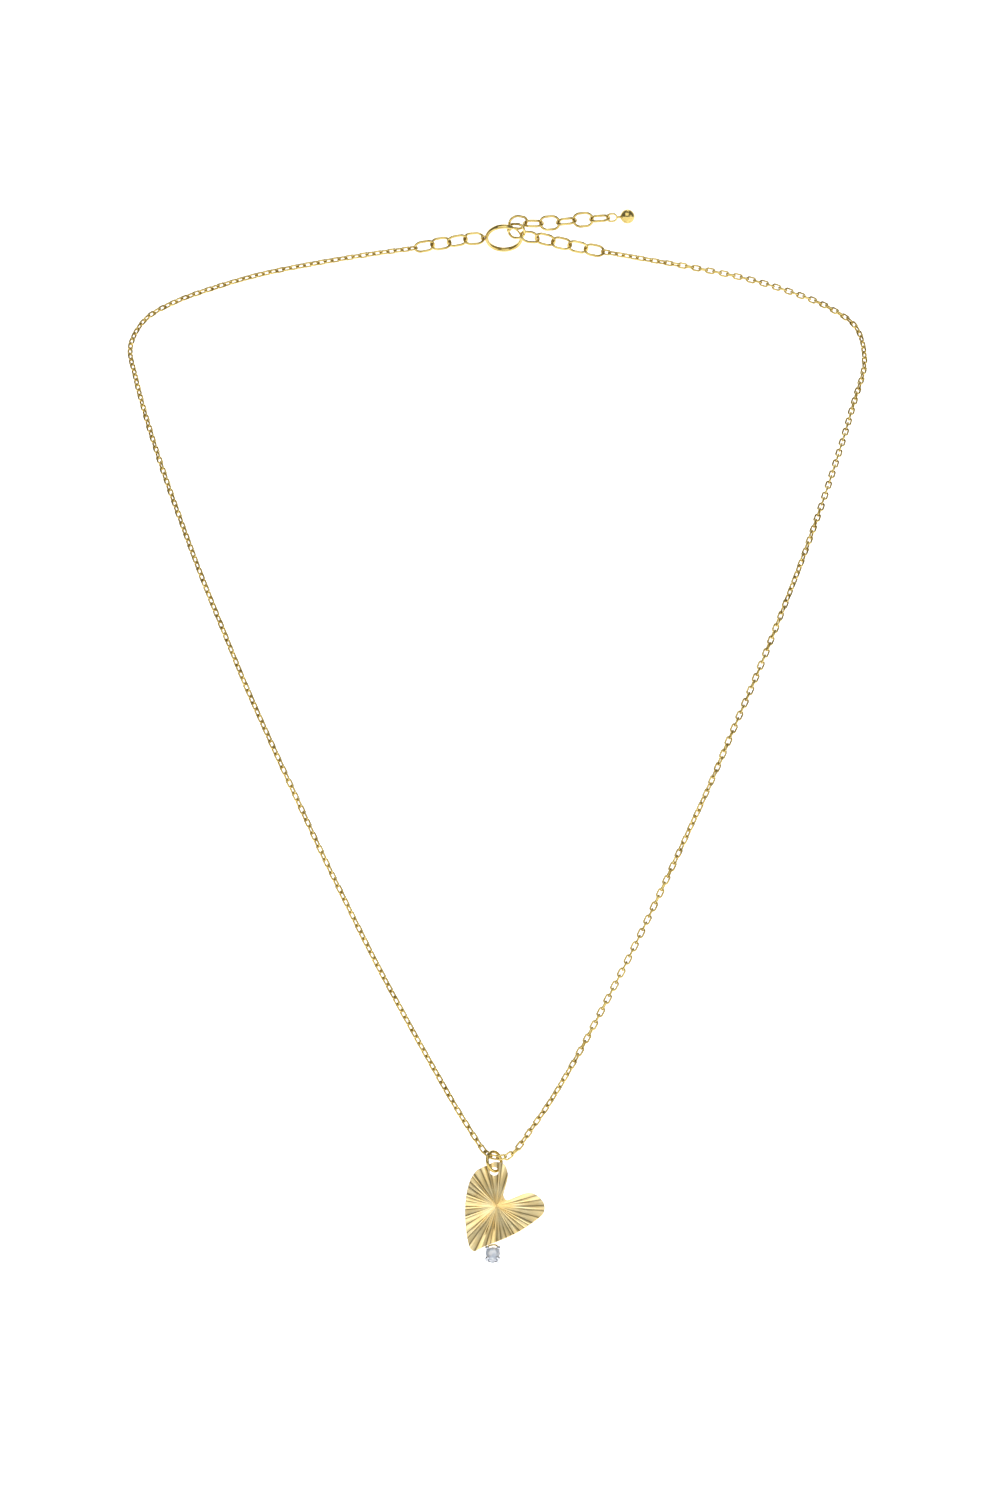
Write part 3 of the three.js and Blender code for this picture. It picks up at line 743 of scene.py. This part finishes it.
def grooveAt(angle, distance):  # 0 on a ridge, 1 on a groove's floor
    steep = float(np.interp(angle % 360, np.array(creaseAngles) % 360, creaseValues, period=360))
    level = steep * min(1.0, distance / heart["fullDepthAt"]) ** 0.8
    for stray in strayCuts:
        if stray["from"] < distance < stray["to"]:
            off = abs((angle - stray["angle"] + 180) % 360 - 180) / stray["half"]
            level = max(level, (1 - off) * 1.6 * distance / stray["to"]) if off < 1 else level
    return level


def heartMesh():
    angles = []
    for k, angle in enumerate(creaseAngles):
        following = creaseAngles[(k + 1) % len(creaseAngles)] + (360 if k == len(creaseAngles) - 1 else 0)
        angles += list(np.linspace(angle, following, 6)[:-1])
    for stray in strayCuts:
        angles += [stray["angle"] + off * stray["half"] for off in (-1, 0, 1)]
    angles = sorted(angle % 360 for angle in angles)
    half = heart["thickness"] / 2
    fractions = [0.06, 0.12, 0.2, 0.28, 0.36, 0.44, 0.52, 0.6, 0.68, 0.76, 0.84, 0.92]
    burst = Vector((*heart["burst"], 0))
    rows = []
    for angle in angles:
        turn = math.radians(angle)
        out = Vector((math.cos(turn), math.sin(turn), 0))
        reach = reachAt(angle) - heart["notch"] * grooveAt(angle, 9.0)
        edge = reach - heart["edgeRound"]
        front = lambda d: half - heart["depth"] * grooveAt(angle, d)
        rim = front(edge)
        row = [(d * edge, front(d * edge)) for d in fractions] + [(edge, rim)]
        row += [(reach - 0.015, rim - 0.02), (reach, rim - 0.05), (reach, 0.05 - half)]
        row += [(reach - 0.015, 0.02 - half), (edge, -half)]
        row += [(edge * d, -half - heart["backCrown"] * (1 - d * d)) for d in (0.8, 0.5, 0.25)]
        rows.append([burst + out * d + Vector((0, 0, h)) for d, h in row])
    size = len(rows[0])
    points = [point for row in rows for point in row]
    points += [burst + Vector((0, 0, half)), burst - Vector((0, 0, half + heart["backCrown"]))]
    top, under = len(points) - 2, len(points) - 1
    faces = []
    for k in range(len(rows)):
        a, b = k * size, (k + 1) % len(rows) * size
        faces += [(a + j, a + j + 1, b + j + 1, b + j) for j in range(size - 1)]
        faces += [(top, a, b), (under, b + size - 1, a + size - 1)]
    return meshFrom("heartPlate", points, faces)


def addHeart():
    mesh = heartMesh()
    radius = heart["holeRadius"]
    hole = turned("hole", [(0.0, -1.0), (radius, -1.0), (radius, 1.0), (0.0, 1.0)], 64)
    mesh = smoothBelow(cut(mesh, hole), 9)
    valley = mesh.attributes.new("valley", "FLOAT", "POINT")
    depths = []
    for vertex in mesh.vertices:
        x, y = vertex.co.x - heart["burst"][0], vertex.co.y - heart["burst"][1]
        front = vertex.co.z > 0
        depths.append(min(1.0, grooveAt(math.degrees(math.atan2(y, x)), math.hypot(x, y))) if front else 0.0)
    valley.data.foreach_set("value", depths)
    mesh.transform(pendantPlace)
    addPiece("heartPlate", mesh, "pendant", ["heart_plate"], heartGold)


addHeart()
print("heart engraved")


setting = {"tilt": 15.0, "place": (-0.2, -11.63, 0.35), "prongWire": 0.42, "archWire": 0.24,
           "rails": {"upper": (1.82, 0.28, 0.6), "lower": (1.6, 0.28, 1.35)},
           "prong": [(1.02, -1.5), (1.12, -0.8), (1.24, 0.0), (1.2, 0.22), (1.02, 0.33)],
           "arch": [(-0.62, -10.56, 0.08), (-0.5, -10.46, 0), (0.05, -10.31, -0.05), (0.5, -10.38, 0),
                    (0.62, -10.54, 0.08)]}
stone = {"girdle": 1.0, "table": 0.56, "crown": 0.32, "edge": 0.03, "pavilion": 0.86}
stonePlace = pendantPlace @ Matrix.Translation(setting["place"]) @ Matrix.Rotation(
    -math.radians(setting["tilt"]), 4, "X")


def circlePoints(count, radius, height, shift=0.0):
    turns = [2 * math.pi * (k + shift) / count for k in range(count)]
    return [(radius * math.cos(turn), radius * math.sin(turn), height) for turn in turns]


def brilliant():
    corners = circlePoints(8, stone["table"], stone["crown"], 0.5)
    corners += circlePoints(8, 0.8 * stone["girdle"], 0.56 * stone["crown"])
    corners += circlePoints(16, stone["girdle"], stone["edge"])
    corners += circlePoints(16, stone["girdle"], -stone["edge"])
    corners += circlePoints(8, 0.45, -0.52) + [(0, 0, -stone["pavilion"])]
    shape = bmesh.new()
    for corner in corners:
        shape.verts.new(corner)
    bmesh.ops.convex_hull(shape, input=shape.verts)
    bmesh.ops.dissolve_limit(shape, angle_limit=math.radians(1), verts=shape.verts, edges=shape.edges)
    bmesh.ops.recalc_face_normals(shape, faces=shape.faces)
    mesh = bpy.data.meshes.new("stone")
    shape.to_mesh(mesh)
    shape.free()
    return mesh


def addSetting():
    mesh = brilliant()
    mesh.transform(stonePlace)
    addPiece("stone", mesh, "pendant", ["stone"], stoneLook)
    for k in range(4):
        turn = math.pi / 4 + k * math.pi / 2
        points = [(reach * math.cos(turn), reach * math.sin(turn), height)
                  for reach, height in setting["prong"]]
        line = smoothLine(points, 6)
        wire = setting["prongWire"] / 2
        radii = [wire * (0.92 + 0.16 * min(1.0, j / 12)) for j in range(len(line))]
        prong = rod(f"prong{k + 1}", line, radii, 16)
        prong.transform(stonePlace)
        addPiece(f"prong{k + 1}", prong, "pendant", [f"setting_prong_{k + 1}"], whiteMetal)
    for name, (diameter, wire, depth) in setting["rails"].items():
        line = circlePoints(48, (diameter - wire) / 2, -depth)
        rail = rod(name + "Rail", line, wire / 2, 14, closed=True)
        rail.transform(stonePlace)
        addPiece(name + "Rail", rail, "pendant", [f"setting_{name}_rail"], whiteMetal)
    line = smoothLine([(x + setting["place"][0], y, z) for x, y, z in setting["arch"]], 8)
    loop = rod("settingArch", line, setting["archWire"] / 2, 14)
    loop.transform(pendantPlace)
    addPiece("settingArch", loop, "pendant", ["setting_arch"], yellowGold)


addSetting()
print("setting made")


studio = {"floor": -0.2, "colour": (0.95, 0.95, 0.95), "glow": 0.85, "world": 0.2, "bend": 0.8,
          "front": -2.5, "back": 0.9, "height": 3.0, "halfWidth": 3.0}


def addStage():
    material, tree, shader, coords = startMaterial("palePaper")
    grain = addNode(tree, "ShaderNodeTexNoise", {"Scale": 40.0, "Detail": 2.0})
    tree.links.new(coords, grain.inputs["Vector"])
    pale = studio["colour"]
    tree.links.new(mixColours(tree, grain.outputs[0], pale, tuple(c * 0.995 for c in pale)),
                   shader.inputs["Base Color"])
    shader.inputs["Roughness"].default_value = 0.9
    shader.inputs["Emission Color"].default_value = (1, 1, 1, 1)
    shader.inputs["Emission Strength"].default_value = studio["glow"]
    back, bend = studio["back"], studio["bend"]
    profile = [(studio["front"], 0.0), (back, 0.0)]
    profile += [(back + bend * math.sin(t), bend - bend * math.cos(t))
                for t in np.linspace(0.1, math.pi / 2, 12)]
    profile += [(back + bend, studio["height"])]
    points = [(side * studio["halfWidth"], y, studio["floor"] + z)
              for y, z in profile for side in (-1, 1)]
    faces = [(2 * k, 2 * k + 1, 2 * k + 3, 2 * k + 2) for k in range(len(profile) - 1)]
    mesh = bpy.data.meshes.new("floor")
    mesh.from_pydata(points, [], faces)
    mesh.polygons.foreach_set("use_smooth", [True] * len(faces))
    mesh.materials.append(material)
    floor = bpy.data.objects.new("floor", mesh)
    scene.collection.objects.link(floor)


lights = {
    "front": {"place": (-0.2, -1.1, 0.85), "size": 1.3, "power": 7.5},
    "fill": {"place": (0.9, -0.7, 0.1), "size": 0.7, "power": 1.3},
    "top": {"place": (0.1, 0.3, 1.2), "size": 0.5, "power": 1.3},
}


def addLights():
    for name, light in lights.items():
        data = bpy.data.lights.new(name, "AREA")
        data.size = light["size"]
        data.energy = light["power"]
        lamp = bpy.data.objects.new(name, data)
        lamp.location = light["place"]
        aim = Vector((0, -0.04, -0.06)) - lamp.location
        lamp.rotation_euler = aim.to_track_quat("-Z", "Y").to_euler()
        scene.collection.objects.link(lamp)
    world = bpy.data.worlds.new("studio")
    world.use_nodes = True
    world.node_tree.nodes["Background"].inputs["Color"].default_value = (1, 1, 1, 1)
    world.node_tree.nodes["Background"].inputs["Strength"].default_value = studio["world"]
    scene.world = world
    scene.view_settings.view_transform = "Standard"


addStage()
addLights()
print("stage and lights set")
